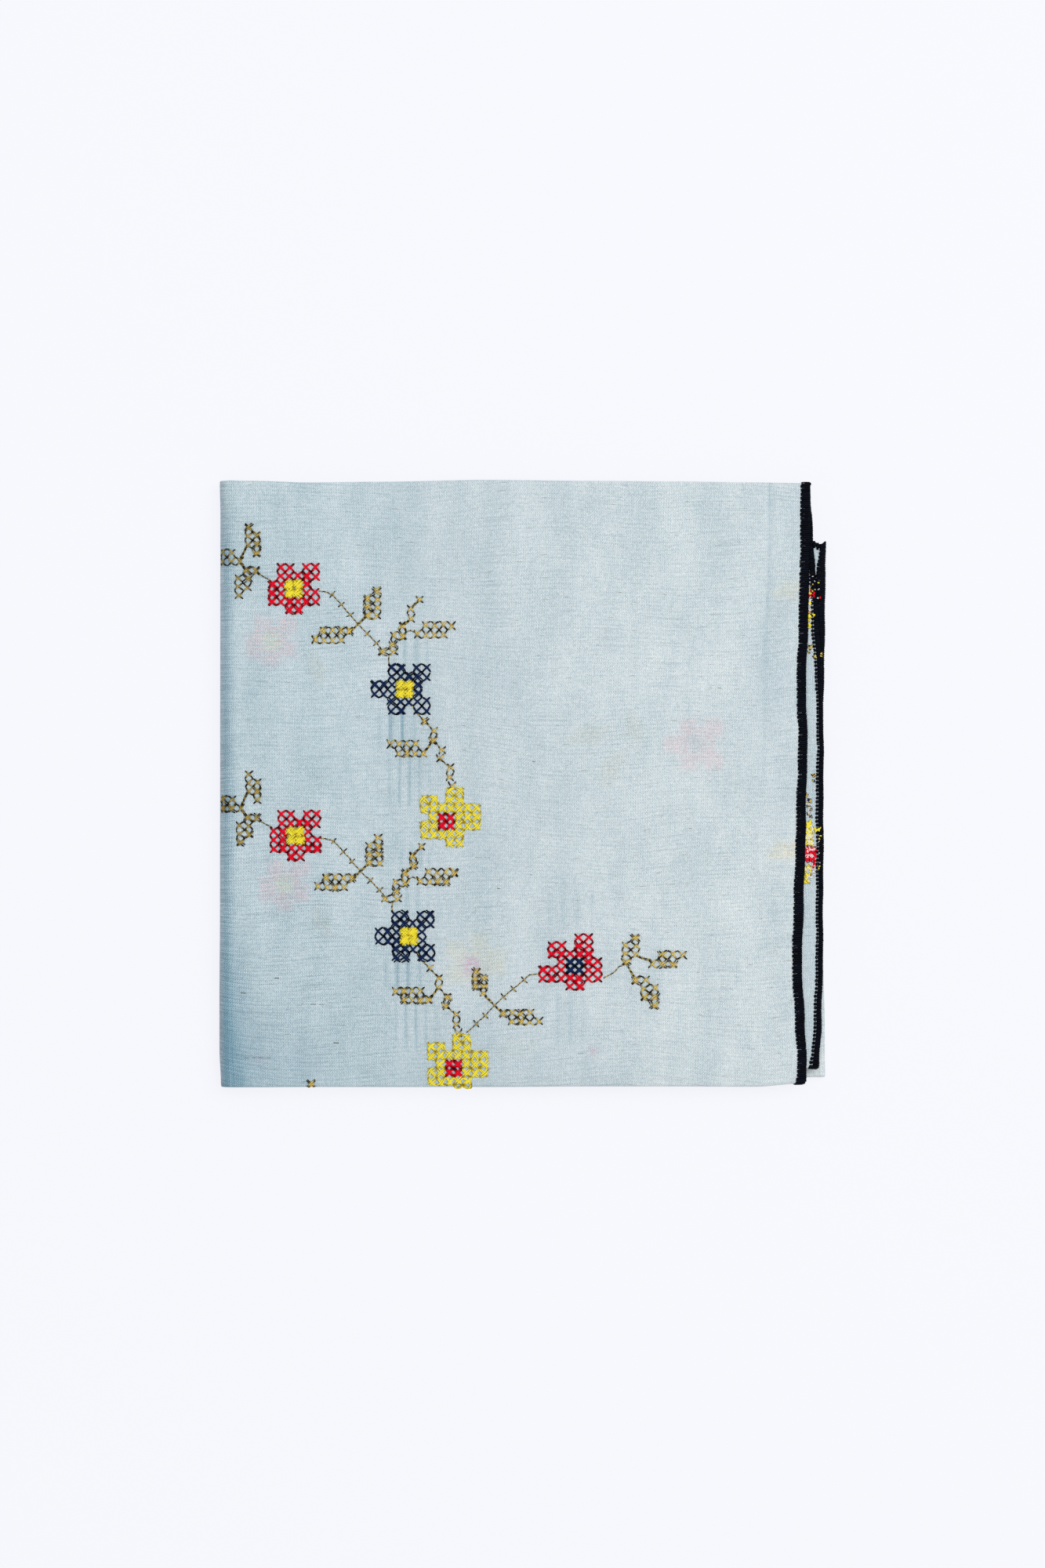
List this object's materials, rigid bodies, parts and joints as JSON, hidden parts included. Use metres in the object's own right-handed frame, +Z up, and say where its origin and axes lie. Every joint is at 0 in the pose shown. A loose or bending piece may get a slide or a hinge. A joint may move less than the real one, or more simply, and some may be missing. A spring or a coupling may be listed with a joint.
{
  "type": "folded square head scarf",
  "caption": "Square voile head scarf with an overlocked edge and cross-stitch flower garlands, folded into a flat square packet that rests on a surface.",
  "frame": {"origin": "middle of the packet's outline, on the surface that it rests on", "axes": "+Z up out of the flat packet, +X towards the free edges, the round fold at -X, +Y up the scarf as it lies"},
  "size_m": [0.1894, 0.19, 0.0088],
  "materials": {
    "voile": "matt sheer slubby plain weave, pale blue",
    "overlock_thread": "satin polyester thread, navy",
    "embroidery_red": "glossy rayon thread, red",
    "embroidery_yellow": "glossy rayon thread, yellow",
    "embroidery_navy": "glossy rayon thread, navy blue",
    "embroidery_gold": "glossy rayon thread, khaki gold shading to dark brown",
    "bobbin_thread": "thin white thread of the wrong side"
  },
  "bodies": {
    "root": {"cloth": "voile", "edging_near_end": "overlock_thread", "edging_far_end": "overlock_thread"}
  },
  "joints": []
}
